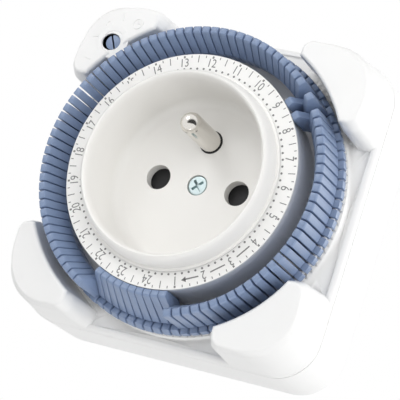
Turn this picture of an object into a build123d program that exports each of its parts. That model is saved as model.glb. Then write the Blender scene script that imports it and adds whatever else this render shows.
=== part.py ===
from build123d import *
import math
import os

# Plug in timer switch, in millimetres. X points right and Z points up, as the user sees it plugged in,
# and Y points into the wall. The origin is the centre of the plug's end face, between its two pins.
# Every height below is measured out of the socket floor, towards the user, so it runs along -Y.

# ---- standard plug and socket ----
PIN_SPACING = 19.0
PIN_DIAMETER = 4.8
PLUG_PIN_LENGTH = 19.0
EARTH_OFFSET = 10.0
EARTH_PIN_LENGTH = 14.0
RECESS_RADIUS = 19.5
RECESS_DEPTH = 15.0
SOCKET_HOLE_PLAY = 0.8
EARTH_HOLE_PLAY = 0.4
PLUG_BOSS_RADIUS = 18.75
PLUG_BOSS_LENGTH = 14.5
PLUG_END_WALL = 2.5
PLUG_EDGE_CHAMFER = 1.2

# ---- case ----
CASE_MARGIN = 0.5
CASE_CORNER_RADIUS = 9.4
CASE_WALL = 2.0
REAR_DEPTH = 17.0
FRONT_DEPTH = 2.3
BACK_EDGE_RADIUS = 2.2
RIM_HEIGHT = -4.7
RIM_EDGE_RADIUS = 1.3
RIM_WIDTH = 1.4
RIM_STEP = 0.5
PLATE_OPENING_GAP = 0.55
LOCATING_LIP_DEPTH = 1.5
LOCATING_LIP_WALL = 1.0
SLIP = 0.1

# ---- corner guards ----
GUARD_GAP = 1.6
GUARD_TOP = 8.4
GUARD_FACET_TILT = 10.0
GUARD_FOOT_END = 16.0
GUARD_SHOULDER_STAND = 12.2
GUARD_SHOULDER_INSET = 0.8
GUARD_SHOULDER_CORNER = 10.4
GUARD_SHOULDER_END = 16.6
GUARD_CROWN_STAND = 16.2
GUARD_CROWN_INSET = 1.9
GUARD_CROWN_CORNER = 13.0
GUARD_CROWN_END = 17.9
GUARD_EDGE_RADIUS = 0.7
GUARD_TIP_RADIUS = 2.4
GUARD_WALL = 1.6
PARTING_GROOVE_DEPTH = 0.25
PARTING_GROOVE_HEIGHT = 0.3

# ---- collar round the ring of switching segments ----
COLLAR_GAP = 1.2
COLLAR_WALL = 1.5
COLLAR_STAND = 2.8

# ---- socket cup ----
CUP_WALL = 2.0
CUP_FLOOR = 2.5
CUP_FOOT_DROP = 1.5
CUP_LIP = 0.9
CUP_LIP_ROUND = 4.9
CUP_EDGE_RADIUS = 0.8
FLOOR_FILLET = 3.0
POINTER_LENGTH = 2.6
POINTER_HEIGHT = 0.4
POINTER_HOUR = 15

# ---- program drum and dial ----
DIAL_DEPTH = 5.0
DIAL_THICKNESS = 0.6
DIAL_WIDTH = 4.57
DIAL_OVERHANG = 0.35
DIAL_ANGLE = 271.67
DRUM_RUNNING_GAP = 0.08
DRUM_SLEEVE_WALL = 1.4
DRUM_DECK = 1.8
DRUM_SKIRT_WALL = 1.5
DRUM_FLANGE_GAP = 1.8
DRUM_FLANGE_THICKNESS = 1.5
DRUM_FLANGE_WIDTH = 4.6
DRUM_WEB = 0.5
BEAD_RADIUS = 0.6
BEAD_REACH = 1.7
BEAD_RISE = 1.6
HOURS = 24

# ---- switching segments ----
SEGMENTS_PER_HOUR = 4
SEGMENT_WIDTH = 1.6
SEGMENT_TILT = 23.0
SOCKET_GAP = 0.06
FOOT_RADIUS = 1.2
FOOT_RISE = 1.8
SEGMENT_OVER_DIAL = 0.1
SEGMENT_TOP_LEAN = 1.9
SEGMENT_TOP_WIDTH = 1.3
SEGMENT_CHAMFER = 0.4
SEGMENT_ROOT_REACH = 3.5
SEGMENT_ROOT_RISE = 1.7
GROOVE_DEPTH = 0.6
GROOVE_HEIGHT = 0.7
NOSE_LENGTH = 0.65
NOSE_WIDTH = 0.4
NOSE_ANGLE = -70
MOUTH_ANGLE = 150
ON_RUN_START = 22.25
ON_RUN_QUARTERS = 10
ON_SINGLES = (8.25, 8.75)

# ---- drive ----
DRUM_TEETH = 96
PINION_TEETH = 12
GEAR_RIM = 1.02
GEAR_ADDENDUM = 0.9
GEAR_DEDENDUM = 1.2
PRESSURE_ANGLE = 20.0
GEAR_DROP = 0.6
GEAR_WIDTH = 2.9
GEAR_BACKLASH = 0.16
PINION_SHAFT_RADIUS = 1.0
MOTOR_RADIUS = 9.0
MOTOR_EDGE_RADIUS = 0.6
MOTOR_SHAFT_DEPTH = 4.0
MOTOR_GAP = 2.1
MOTOR_ANGLE = -45.0
SHAFT_GAP = 0.05

# ---- mode knob ----
KNOB_OFFSET = 2.2
KNOB_PLACE_ANGLE = 136.0
KNOB_RADIUS = 2.5
KNOB_SUNK = 2.8
KNOB_HEAD_HEIGHT = 3.5
KNOB_EDGE_CHAMFER = 0.3
KNOB_SHAFT_RADIUS = 1.8
KNOB_HOLE_GAP = 0.2
KNOB_BOSS_WALL = 1.1
KNOB_BOSS_DROP = 0.4
KNOB_BOSS_CLEARANCE = 0.9
KNOB_SLOT_WIDTH = 0.8
KNOB_SLOT_DEPTH = 1.0
KNOB_CAM_RADIUS = 2.6
KNOB_CAM_HEIGHT = 1.4

# ---- trip lever and microswitch ----
TRIP_ANGLE = 125.4
TRIP_PIVOT_OFFSET = 2.7
TRIP_PIVOT_DROP = 4.5
TRIP_PIN_RADIUS = 0.8
TRIP_HUB_RADIUS = 1.6
TRIP_WIDTH = 2.4
TRIP_TIP_DROP = 1.4
TRIP_TIP_GAP = 0.15
TRIP_TIP_CHAMFER = 0.35
TRIP_ARM = 1.0
TRIP_EAR_WALL = 1.6
TRIP_SLOT_CLEARANCE = 0.4
TRIP_SLOT_REACH = 1.0
SWITCH_LENGTH = 9.5
SWITCH_WIDTH = 8.0
SWITCH_DROP = 2.9
SWITCH_EDGE_CHAMFER = 0.4
PLUNGER_RADIUS = 1.0
PLUNGER_STAND = 1.2
PLUNGER_DEPTH = 1.5
PLUNGER_ROOM = 1.0
PLUNGER_ARM = 4.9
PLUNGER_INSET = 3.0
LEVER_TO_PLUNGER = 0.4

# ---- screws, contacts and shutter ----
CORNER_SCREW_INSET = 6.5
SIDE_SCREW_INSET = 5.0
SIDE_SCREW_PLACE = 17.5
SCREW_RADIUS = 1.25
SCREW_HEAD_RADIUS = 2.4
SCREW_HEAD_HEIGHT = 1.6
SCREW_SLOT_LENGTH = 2.8
SCREW_SLOT_WIDTH = 0.7
SCREW_SLOT_DEPTH = 0.8
SCREW_BOSS_RADIUS = 2.6
SCREW_BOSS_LENGTH = 5.0
SCREW_SEAT_DEPTH = 5.0
SCREW_WELL_WALL = 1.1
SCREW_GAP = 0.02
CENTRE_SCREW_HEAD_RADIUS = 2.3
CENTRE_SCREW_LENGTH = 9.0
CENTRE_SCREW_ROUND = 0.4
CROSS_LENGTH = 3.0
CROSS_WIDTH = 0.6
CROSS_DEPTH = 1.1
SHUTTER_THICKNESS = 1.5
SHUTTER_COVER = 0.7
SHUTTER_GAP = 0.3
SHUTTER_HUB_RADIUS = 3.2
SHUTTER_HUB_WALL = 1.6
CARRIER_DROP = 1.0
CARRIER_POST_RADIUS = 3.4
CARRIER_SKIRT_WALL = 1.6
CONTACT_STAND = 2.0
CONTACT_LENGTH = 11.0
CONTACT_WALL = 0.7
CONTACT_SPLIT = 0.8
CONTACT_BASE = 2.0
CONTACT_FOOT_THICKNESS = 0.6
CONTACT_POCKET_GAP = 0.4
PIN_HEAD_WALL = 1.0
PIN_HEAD_HEIGHT = 1.5
PIN_SHANK_RADIUS = 1.5
PIN_KNURL = 0.2
PIN_TIP_CHAMFER = 0.8
EARTH_SHANK_RADIUS = 1.8
EARTH_SLEEVE_WALL = 0.8
EARTH_SLEEVE_LENGTH = 14.0
EARTH_SLEEVE_NECK = 2.0

# ---- heights worked out from the values above ----
PARTING_LINE = RIM_HEIGHT - FRONT_DEPTH
CASE_BACK = PARTING_LINE - REAR_DEPTH
PLUG_FACE = CASE_BACK - PLUG_BOSS_LENGTH
BACK_FLOOR = CASE_BACK + CASE_WALL
BOSS_FLOOR = PLUG_FACE + PLUG_END_WALL
PLATE_HEIGHT = RIM_HEIGHT - RIM_STEP
COLLAR_TOP = PLATE_HEIGHT + COLLAR_STAND
DIAL_FACE = RECESS_DEPTH - DIAL_DEPTH
DIAL_BACK = DIAL_FACE - DIAL_THICKNESS
DRUM_FLANGE_BOTTOM = PLATE_HEIGHT + DRUM_FLANGE_GAP
DRUM_FLANGE_TOP = DRUM_FLANGE_BOTTOM + DRUM_FLANGE_THICKNESS
PIVOT_HEIGHT = DRUM_FLANGE_TOP + BEAD_RISE
SEGMENT_TOP = DIAL_FACE + SEGMENT_OVER_DIAL
SEGMENT_ROOT_HEIGHT = PIVOT_HEIGHT + SEGMENT_ROOT_RISE
FOOT_TOP = PIVOT_HEIGHT + FOOT_RISE
GEAR_TOP = PARTING_LINE - GEAR_DROP
GEAR_BOTTOM = GEAR_TOP - GEAR_WIDTH
CUP_FOOT = GEAR_BOTTOM - CUP_FOOT_DROP
MOTOR_TOP = GEAR_BOTTOM - MOTOR_GAP
KNOB_TOP = GUARD_TOP - KNOB_SUNK
KNOB_SEAT = KNOB_TOP - KNOB_HEAD_HEIGHT - SLIP
KNOB_BOSS_FOOT = FOOT_TOP + KNOB_BOSS_CLEARANCE
TRIP_PIVOT_HEIGHT = PARTING_LINE - TRIP_PIVOT_DROP
TRIP_TIP_HEIGHT = PIVOT_HEIGHT - TRIP_TIP_DROP
SWITCH_TOP = TRIP_PIVOT_HEIGHT - SWITCH_DROP
SCREW_BOSS_FOOT = PARTING_LINE - SCREW_BOSS_LENGTH
SCREW_HEAD_SEAT = SCREW_BOSS_FOOT - SCREW_SEAT_DEPTH
CARRIER_TOP = PARTING_LINE - CARRIER_DROP
CONTACT_TOP = CARRIER_TOP + CONTACT_STAND
CONTACT_FOOT = CONTACT_TOP - CONTACT_LENGTH
EARTH_SLEEVE_TOP = BOSS_FLOOR + EARTH_SLEEVE_LENGTH

# ---- radii and places worked out from the values above ----
CUP_RADIUS = RECESS_RADIUS + CUP_WALL
CUP_LIP_RADIUS = CUP_RADIUS + CUP_LIP
BOSS_INNER_RADIUS = PLUG_BOSS_RADIUS - CASE_WALL
DRUM_BORE = CUP_RADIUS + DRUM_RUNNING_GAP
DRUM_SLEEVE_RADIUS = DRUM_BORE + DRUM_SLEEVE_WALL
DIAL_RADIUS = DRUM_BORE + SLIP + DIAL_WIDTH
DRUM_SKIRT_RADIUS = DIAL_RADIUS - DIAL_OVERHANG
DRUM_FLANGE_RADIUS = DRUM_SKIRT_RADIUS + DRUM_FLANGE_WIDTH
DRUM_PITCH_RADIUS = DRUM_SLEEVE_RADIUS + GEAR_RIM
GEAR_MODULE = 2 * DRUM_PITCH_RADIUS / DRUM_TEETH
PLATE_OPENING_RADIUS = DRUM_PITCH_RADIUS + GEAR_ADDENDUM * GEAR_MODULE + PLATE_OPENING_GAP
MOTOR_PLACE_RADIUS = DRUM_PITCH_RADIUS + GEAR_MODULE * PINION_TEETH / 2
PIVOT_RADIUS = DRUM_FLANGE_RADIUS + BEAD_REACH
COLLAR_INNER_RADIUS = DRUM_FLANGE_RADIUS + COLLAR_GAP
COLLAR_OUTER_RADIUS = COLLAR_INNER_RADIUS + COLLAR_WALL
SEGMENT_TOP_INNER = PIVOT_RADIUS - SEGMENT_TOP_LEAN
SEGMENT_TOP_OUTER = SEGMENT_TOP_INNER + SEGMENT_TOP_WIDTH
SEGMENT_ROOT_INNER = PIVOT_RADIUS - SEGMENT_ROOT_REACH
SOCKET_BEAD_RADIUS = BEAD_RADIUS + SOCKET_GAP
SEGMENT_COUNT = HOURS * SEGMENTS_PER_HOUR
FOOT_OUTER_RADIUS = PIVOT_RADIUS + FOOT_RADIUS
GUARD_INNER_RADIUS = FOOT_OUTER_RADIUS + GUARD_GAP
CASE_SIZE = 2 * (GUARD_INNER_RADIUS + CASE_MARGIN)
KNOB_PLACE_RADIUS = GUARD_INNER_RADIUS + KNOB_OFFSET
KNOB_HOLE_RADIUS = KNOB_RADIUS + KNOB_HOLE_GAP
TRIP_PIVOT_RADIUS = PIVOT_RADIUS + TRIP_PIVOT_OFFSET
TRIP_TIP_RADIUS = FOOT_OUTER_RADIUS + TRIP_TIP_GAP
PLUNGER_PLACE_RADIUS = TRIP_PIVOT_RADIUS - PLUNGER_ARM
SWITCH_INNER_RADIUS = PLUNGER_PLACE_RADIUS - PLUNGER_INSET
SOCKET_HOLE_DIAMETER = PIN_DIAMETER + SOCKET_HOLE_PLAY
EARTH_HOLE_DIAMETER = PIN_DIAMETER + EARTH_HOLE_PLAY
PIN_KNURL_RADIUS = PIN_DIAMETER / 2 + PIN_KNURL
PIN_HEAD_RADIUS = PIN_DIAMETER / 2 + PIN_HEAD_WALL
SHUTTER_LENGTH = PIN_SPACING + SOCKET_HOLE_DIAMETER + 2 * SHUTTER_COVER
SHUTTER_WIDTH = SOCKET_HOLE_DIAMETER + 2 * SHUTTER_COVER
CORNER_SCREW = CASE_SIZE / 2 - CORNER_SCREW_INSET
SIDE_SCREW = CASE_SIZE / 2 - SIDE_SCREW_INSET
CASE_SCREW_PLACES = ((CORNER_SCREW, CORNER_SCREW), (CORNER_SCREW, -CORNER_SCREW),
                     (-CORNER_SCREW, -CORNER_SCREW), (-SIDE_SCREW, SIDE_SCREW_PLACE))
FULL_TURN = 360


def plane_at(height):
    """The plane across the axis at a height above the socket floor, facing the user."""
    return Plane.XZ.offset(height - PLUG_FACE)


def flat(radius, height):
    """A point of a section drawn in the XY plane, from its radius and its height."""
    return (radius, PLUG_FACE - height)


def around(radius, angle):
    """X and Z of a place on a circle round the axis, with the angle from +X towards +Z."""
    return (radius * math.cos(math.radians(angle)), radius * math.sin(math.radians(angle)))


def disc(radius, low, high, place=(0.0, 0.0)):
    return extrude(plane_at(low) * Pos(*place) * Circle(radius), high - low)


def ring(outer, inner, low, high, place=(0.0, 0.0)):
    return disc(outer, low, high, place) - disc(inner, low, high, place)


def block(size_x, size_z, low, high, place=(0.0, 0.0), turn=0.0):
    shape = Pos(*place) * Rot(0, 0, turn) * Rectangle(size_x, size_z)
    return extrude(plane_at(low) * shape, high - low)


def rounded_block(size, corner, low, high, taper=0.0):
    return extrude(plane_at(low) * RectangleRounded(size, size, corner), high - low, taper=taper)


def turned(points):
    """A solid turned about the axis from (radius, height) corners."""
    return revolve(make_face(Polyline(*[flat(r, h) for r, h in points], close=True)), Axis.Y)


def swung(part, angle):
    """A part drawn along +X, swung round the axis to an angle from +X towards +Z."""
    return part.rotate(Axis.Y, -angle)


def slab(points, width):
    """A solid with a (radius, height) outline, drawn along +X and centred on the XY plane."""
    return extrude(make_face(Polyline(*[flat(r, h) for r, h in points], close=True)), width / 2, both=True)


# ------------------------------------------------------------------------------------------ case
def guard_outline(stand, side, end, corner, inset):
    """The outline of the guard at +X +Z, at its stand over the parting line."""
    far = side - inset
    near = end + inset
    large = corner - inset
    small = GUARD_TIP_RADIUS - inset
    outline = [
        Line((near, near), (near, far - small)),
        RadiusArc((near, far - small), (near + small, far), small),
        Line((near + small, far), (far - large, far)),
        RadiusArc((far - large, far), (far, far - large), large),
        Line((far, far - large), (far, near + small)),
        RadiusArc((far, near + small), (far - small, near), small),
        Line((far - small, near), (near, near)),
    ]
    return plane_at(PARTING_LINE + stand) * make_face(outline)


def guard_block(inset):
    """The guard at +X +Z: a wall, a shoulder that leans in above it, and a tilted facet across the top."""
    side = CASE_SIZE / 2
    foot = guard_outline(0, side, GUARD_FOOT_END, CASE_CORNER_RADIUS, inset)
    shoulder = guard_outline(GUARD_SHOULDER_STAND, side - GUARD_SHOULDER_INSET, GUARD_SHOULDER_END,
                             GUARD_SHOULDER_CORNER, inset)
    crown = guard_outline(GUARD_CROWN_STAND, side - GUARD_CROWN_INSET, GUARD_CROWN_END,
                          GUARD_CROWN_CORNER, inset)
    body = loft([foot, shoulder, crown], ruled=True)
    body -= disc(GUARD_INNER_RADIUS + inset, PARTING_LINE, PARTING_LINE + GUARD_CROWN_STAND)
    edge = around(GUARD_INNER_RADIUS, 45)
    lean = math.sin(math.radians(GUARD_FACET_TILT)) * math.sqrt(0.5)
    facet = Plane(plane_at(GUARD_TOP - inset).origin + Vector(edge[0], 0, edge[1]),
                  z_dir=(lean, -math.cos(math.radians(GUARD_FACET_TILT)), lean))
    top = extrude(facet * Rectangle(2 * CASE_SIZE, 2 * CASE_SIZE), GUARD_TOP)
    return body - top


def make_front_housing():
    body = rounded_block(CASE_SIZE, CASE_CORNER_RADIUS, PARTING_LINE, RIM_HEIGHT)
    body = fillet(body.faces().sort_by(Axis.Y)[0].edges(), RIM_EDGE_RADIUS)
    body -= rounded_block(CASE_SIZE - 2 * RIM_WIDTH, CASE_CORNER_RADIUS - RIM_WIDTH, PLATE_HEIGHT, GUARD_TOP)
    body += disc(COLLAR_OUTER_RADIUS, PARTING_LINE, COLLAR_TOP)
    guard = guard_block(0.0)
    guard = fillet(guard.faces().sort_by(Axis.Y)[0].edges(), GUARD_EDGE_RADIUS)
    hollow = guard_block(GUARD_WALL)
    for turn in range(4):
        body += guard.rotate(Axis.Y, 90 * turn)
    for turn in range(4):
        body -= hollow.rotate(Axis.Y, 90 * turn)
    body -= disc(COLLAR_INNER_RADIUS, PLATE_HEIGHT, COLLAR_TOP)
    body -= disc(PLATE_OPENING_RADIUS, PARTING_LINE, PLATE_HEIGHT)
    groove_top = PARTING_LINE + PARTING_GROOVE_HEIGHT
    grooved = CASE_SIZE - 2 * PARTING_GROOVE_DEPTH
    groove_corner = CASE_CORNER_RADIUS - PARTING_GROOVE_DEPTH
    body -= (block(2 * CASE_SIZE, 2 * CASE_SIZE, PARTING_LINE, groove_top)
             - rounded_block(grooved, groove_corner, PARTING_LINE, groove_top))
    lip = CASE_SIZE - 2 * CASE_WALL - 2 * SLIP
    lip_corner = CASE_CORNER_RADIUS - CASE_WALL - SLIP
    lip_low = PARTING_LINE - LOCATING_LIP_DEPTH
    body += rounded_block(lip, lip_corner, lip_low, PARTING_LINE) - rounded_block(
        lip - 2 * LOCATING_LIP_WALL, lip_corner - LOCATING_LIP_WALL, lip_low, PARTING_LINE)
    for place in CASE_SCREW_PLACES:
        body += disc(SCREW_BOSS_RADIUS, SCREW_BOSS_FOOT, PARTING_LINE, place)
        body -= disc(SCREW_RADIUS + SCREW_GAP, SCREW_BOSS_FOOT, PARTING_LINE + GUARD_WALL / 2, place)
    body = add_knob_boss(body)
    return add_trip_ears(body)


def add_knob_boss(body):
    """The round boss that holds the mode knob, standing proud of the guard towards the ring."""
    place = around(KNOB_PLACE_RADIUS, KNOB_PLACE_ANGLE)
    outer = KNOB_HOLE_RADIUS + KNOB_BOSS_WALL
    boss = disc(outer, PARTING_LINE, GUARD_TOP - KNOB_BOSS_DROP, place)
    boss -= disc(GUARD_INNER_RADIUS, PARTING_LINE, KNOB_BOSS_FOOT)
    body += boss
    body -= disc(KNOB_HOLE_RADIUS, KNOB_SEAT, GUARD_TOP, place)
    return body - disc(KNOB_SHAFT_RADIUS + SHAFT_GAP, PARTING_LINE, KNOB_SEAT, place)


def add_trip_ears(body):
    """Two ears behind the plate for the trip lever's pin, and the slot that its tip stands in."""
    ear_gap = TRIP_WIDTH + 2 * SLIP
    low = TRIP_PIVOT_HEIGHT - TRIP_HUB_RADIUS
    length = 2 * TRIP_HUB_RADIUS
    place = around(TRIP_PIVOT_RADIUS, TRIP_ANGLE)
    ears = block(length, ear_gap + 2 * TRIP_EAR_WALL, low, PARTING_LINE, place, TRIP_ANGLE)
    ears -= block(length, ear_gap, low, PARTING_LINE, place, TRIP_ANGLE)
    body += ears
    body -= swung(trip_pin(SCREW_GAP), TRIP_ANGLE)
    slot_inner = TRIP_TIP_RADIUS - TRIP_SLOT_REACH
    slot_outer = TRIP_PIVOT_RADIUS + TRIP_ARM
    slot_place = around((slot_inner + slot_outer) / 2, TRIP_ANGLE)
    slot_wide = TRIP_WIDTH + 2 * TRIP_SLOT_CLEARANCE
    return body - block(slot_outer - slot_inner, slot_wide, PARTING_LINE, COLLAR_TOP, slot_place, TRIP_ANGLE)


def make_rear_housing():
    body = rounded_block(CASE_SIZE, CASE_CORNER_RADIUS, CASE_BACK, PARTING_LINE)
    body = fillet(body.faces().sort_by(Axis.Y)[-1].edges(), BACK_EDGE_RADIUS)
    boss = disc(PLUG_BOSS_RADIUS, PLUG_FACE, CASE_BACK)
    body += chamfer(boss.faces().sort_by(Axis.Y)[-1].edges(), PLUG_EDGE_CHAMFER)
    inner = CASE_SIZE - 2 * CASE_WALL
    body -= rounded_block(inner, CASE_CORNER_RADIUS - CASE_WALL, BACK_FLOOR, PARTING_LINE)
    body -= disc(BOSS_INNER_RADIUS, BOSS_FLOOR, BACK_FLOOR)
    support = ring(CUP_RADIUS, RECESS_RADIUS, BACK_FLOOR, CUP_FOOT)
    motor_place = around(MOTOR_PLACE_RADIUS, MOTOR_ANGLE)
    support -= disc(MOTOR_RADIUS + SHUTTER_GAP, BACK_FLOOR, CUP_FOOT, motor_place)
    body += support
    well_radius = SCREW_HEAD_RADIUS + SLIP + SCREW_WELL_WALL
    for place in CASE_SCREW_PLACES:
        body += disc(well_radius, BACK_FLOOR, SCREW_HEAD_SEAT + CASE_WALL, place)
        body += disc(SCREW_BOSS_RADIUS, BACK_FLOOR, SCREW_BOSS_FOOT - SLIP, place)
        body -= disc(SCREW_HEAD_RADIUS + SLIP, CASE_BACK, SCREW_HEAD_SEAT, place)
        body -= disc(SCREW_RADIUS + SCREW_GAP, CASE_BACK, SCREW_BOSS_FOOT, place)
    for side in (-1, 1):
        body -= disc(PIN_KNURL_RADIUS + SCREW_GAP, PLUG_FACE, BOSS_FLOOR, (side * PIN_SPACING / 2, 0))
    return body - disc(EARTH_HOLE_DIAMETER / 2, PLUG_FACE, BOSS_FLOOR, (0, EARTH_OFFSET))


def make_housing_screws():
    screws = []
    for place in CASE_SCREW_PLACES:
        screw = disc(SCREW_HEAD_RADIUS, SCREW_HEAD_SEAT - SCREW_HEAD_HEIGHT, SCREW_HEAD_SEAT, place)
        screw += disc(SCREW_RADIUS, SCREW_HEAD_SEAT, PARTING_LINE, place)
        head_low = SCREW_HEAD_SEAT - SCREW_HEAD_HEIGHT
        screw -= block(SCREW_SLOT_LENGTH, SCREW_SLOT_WIDTH, head_low, head_low + SCREW_SLOT_DEPTH, place)
        screws.append(screw)
    return Compound(children=screws)


# ------------------------------------------------------------------------------------ socket cup
def make_socket_cup():
    """The recess, with the lip that keeps the dial on, the skirt that the drum runs on and the pointer."""
    lip_low = DIAL_FACE + SLIP
    edge_top = flat(RECESS_RADIUS + CUP_EDGE_RADIUS, RECESS_DEPTH)
    outline = [
        Polyline(flat(0, 0), flat(RECESS_RADIUS - FLOOR_FILLET, 0)),
        RadiusArc(flat(RECESS_RADIUS - FLOOR_FILLET, 0), flat(RECESS_RADIUS, FLOOR_FILLET), FLOOR_FILLET),
        Polyline(flat(RECESS_RADIUS, FLOOR_FILLET), flat(RECESS_RADIUS, RECESS_DEPTH - CUP_EDGE_RADIUS)),
        RadiusArc(flat(RECESS_RADIUS, RECESS_DEPTH - CUP_EDGE_RADIUS), edge_top, -CUP_EDGE_RADIUS),
        RadiusArc(edge_top, flat(CUP_LIP_RADIUS, lip_low), -CUP_LIP_ROUND),
        Polyline(flat(CUP_LIP_RADIUS, lip_low), flat(CUP_RADIUS, lip_low), flat(CUP_RADIUS, CUP_FOOT),
                 flat(RECESS_RADIUS, CUP_FOOT), flat(RECESS_RADIUS, -CUP_FLOOR), flat(0, -CUP_FLOOR),
                 flat(0, 0)),
    ]
    body = revolve(make_face(outline), Axis.Y)
    hub_foot = -CUP_FLOOR - SHUTTER_GAP - SHUTTER_THICKNESS - SLIP
    body += disc(SHUTTER_HUB_RADIUS, hub_foot, 0)
    for side in (-1, 1):
        body -= disc(SOCKET_HOLE_DIAMETER / 2, -CUP_FLOOR, 0, (side * PIN_SPACING / 2, 0))
    body -= disc(PIN_KNURL_RADIUS + SCREW_GAP, -CUP_FLOOR, 0, (0, EARTH_OFFSET))
    body -= disc(SCREW_RADIUS + SLIP, hub_foot, 0)
    body -= disc(CENTRE_SCREW_HEAD_RADIUS + SLIP, -CUP_FLOOR + SLIP, 0)
    pointer = slab([(CUP_RADIUS, DIAL_FACE + SLIP), (CUP_LIP_RADIUS + POINTER_LENGTH, DIAL_FACE + SLIP),
                    (CUP_LIP_RADIUS, DIAL_FACE + SLIP + 2 * POINTER_HEIGHT),
                    (CUP_RADIUS, DIAL_FACE + SLIP + 2 * POINTER_HEIGHT)], POINTER_LENGTH)
    half = POINTER_LENGTH / 2
    shape = Polyline((CUP_LIP_RADIUS + POINTER_LENGTH, 0), (CUP_RADIUS, half), (CUP_RADIUS, -half),
                     close=True)
    pointer &= extrude(plane_at(DIAL_FACE) * make_face(shape), RECESS_DEPTH)
    return body + swung(pointer, DIAL_ANGLE + FULL_TURN * POINTER_HOUR / HOURS)


def make_centre_screw():
    head_low = -CUP_FLOOR + 2 * SLIP
    screw = disc(CENTRE_SCREW_HEAD_RADIUS, head_low, -3 * SLIP)
    screw = fillet(screw.faces().sort_by(Axis.Y)[0].edges(), CENTRE_SCREW_ROUND)
    screw += disc(SCREW_RADIUS, head_low - CENTRE_SCREW_LENGTH, head_low)
    for turn in (45, 135):
        screw -= block(CROSS_LENGTH, CROSS_WIDTH, -3 * SLIP - CROSS_DEPTH, 0, turn=turn)
    return screw


def make_front_earth_pin():
    straight = EARTH_PIN_LENGTH - PIN_DIAMETER / 2
    pin = disc(PIN_DIAMETER / 2, 0, straight, (0, EARTH_OFFSET))
    pin += disc(PIN_KNURL_RADIUS, -CUP_FLOOR, 0, (0, EARTH_OFFSET))
    centre = plane_at(straight).origin + Vector(0, 0, EARTH_OFFSET)
    pin += Pos(centre) * Sphere(PIN_DIAMETER / 2)
    return pin + disc(EARTH_SHANK_RADIUS, EARTH_SLEEVE_TOP - EARTH_SLEEVE_NECK, -CUP_FLOOR, (0, EARTH_OFFSET))


# -------------------------------------------------------------------------- contacts and shutter
def make_shutter():
    """A two-winged plate that covers both socket holes and turns on the cup's hub."""
    high = -CUP_FLOOR - SHUTTER_GAP
    low = high - SHUTTER_THICKNESS
    wings = extrude(plane_at(low) * SlotOverall(SHUTTER_LENGTH, SHUTTER_WIDTH), SHUTTER_THICKNESS)
    wings += disc(SHUTTER_HUB_RADIUS + SHUTTER_HUB_WALL, low, high)
    return wings - disc(SHUTTER_HUB_RADIUS + SHAFT_GAP, low, high)


def make_contact_carrier():
    """The insulating block in the plug boss that holds the contacts, with a post for the centre screw."""
    radius = BOSS_INNER_RADIUS - SHUTTER_GAP
    low = BOSS_FLOOR + PIN_HEAD_HEIGHT + SLIP
    body = disc(radius, low, CARRIER_TOP) + ring(radius, radius - CARRIER_SKIRT_WALL, BOSS_FLOOR, low)
    post_top = -CUP_FLOOR - SHUTTER_GAP - SHUTTER_THICKNESS - 2 * SLIP
    body += disc(CARRIER_POST_RADIUS, CARRIER_TOP, post_top)
    for side in (-1, 1):
        place = (side * PIN_SPACING / 2, 0)
        pocket = PIN_DIAMETER / 2 + CONTACT_WALL + CONTACT_POCKET_GAP
        body -= disc(pocket, CONTACT_FOOT - CONTACT_FOOT_THICKNESS, CARRIER_TOP, place)
        body -= disc(PIN_SHANK_RADIUS + SCREW_GAP, low, CONTACT_FOOT, place)
    body -= disc(SCREW_RADIUS + SCREW_GAP, -CUP_FLOOR - CENTRE_SCREW_LENGTH - SLIP, post_top)
    sleeve = EARTH_HOLE_DIAMETER / 2 + EARTH_SLEEVE_WALL + SCREW_GAP
    body -= disc(sleeve, low, EARTH_SLEEVE_TOP, (0, EARTH_OFFSET))
    return body - disc(EARTH_SHANK_RADIUS + SCREW_GAP, EARTH_SLEEVE_TOP, CARRIER_TOP, (0, EARTH_OFFSET))


def make_socket_contact(side):
    """A split brass sleeve with a closed foot, which grips the pin that comes through the socket hole."""
    place = (side * PIN_SPACING / 2, 0)
    inner = PIN_DIAMETER / 2 + SHAFT_GAP
    body = ring(inner + CONTACT_WALL, inner, CONTACT_FOOT, CONTACT_TOP, place)
    body -= block(CONTACT_SPLIT, 2 * PIN_DIAMETER, CONTACT_FOOT + CONTACT_BASE, CONTACT_TOP, place)
    return body + disc(inner + CONTACT_WALL, CONTACT_FOOT - CONTACT_FOOT_THICKNESS, CONTACT_FOOT, place)


def make_plug_pin(side):
    """A solid pin with a head behind the plug's end wall and a shank up to the socket contact."""
    place = (side * PIN_SPACING / 2, 0)
    tip = PLUG_FACE - PLUG_PIN_LENGTH
    pin = disc(PIN_DIAMETER / 2, tip, PLUG_FACE, place)
    pin = chamfer(pin.faces().sort_by(Axis.Y)[-1].edges(), PIN_TIP_CHAMFER)
    pin += disc(PIN_KNURL_RADIUS, PLUG_FACE, BOSS_FLOOR, place)
    pin += disc(PIN_HEAD_RADIUS, BOSS_FLOOR, BOSS_FLOOR + PIN_HEAD_HEIGHT, place)
    return pin + disc(PIN_SHANK_RADIUS, BOSS_FLOOR, CONTACT_FOOT - CONTACT_FOOT_THICKNESS, place)


def make_earth_sleeve():
    """The sleeve that takes the wall socket's earth pin and carries the front earth pin's shank."""
    inner = EARTH_HOLE_DIAMETER / 2
    outer = inner + EARTH_SLEEVE_WALL
    place = (0, EARTH_OFFSET)
    neck = EARTH_SLEEVE_TOP - EARTH_SLEEVE_NECK
    sleeve = ring(outer, inner, BOSS_FLOOR, neck, place)
    return sleeve + ring(outer, EARTH_SHANK_RADIUS + SCREW_GAP, neck, EARTH_SLEEVE_TOP, place)


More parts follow.
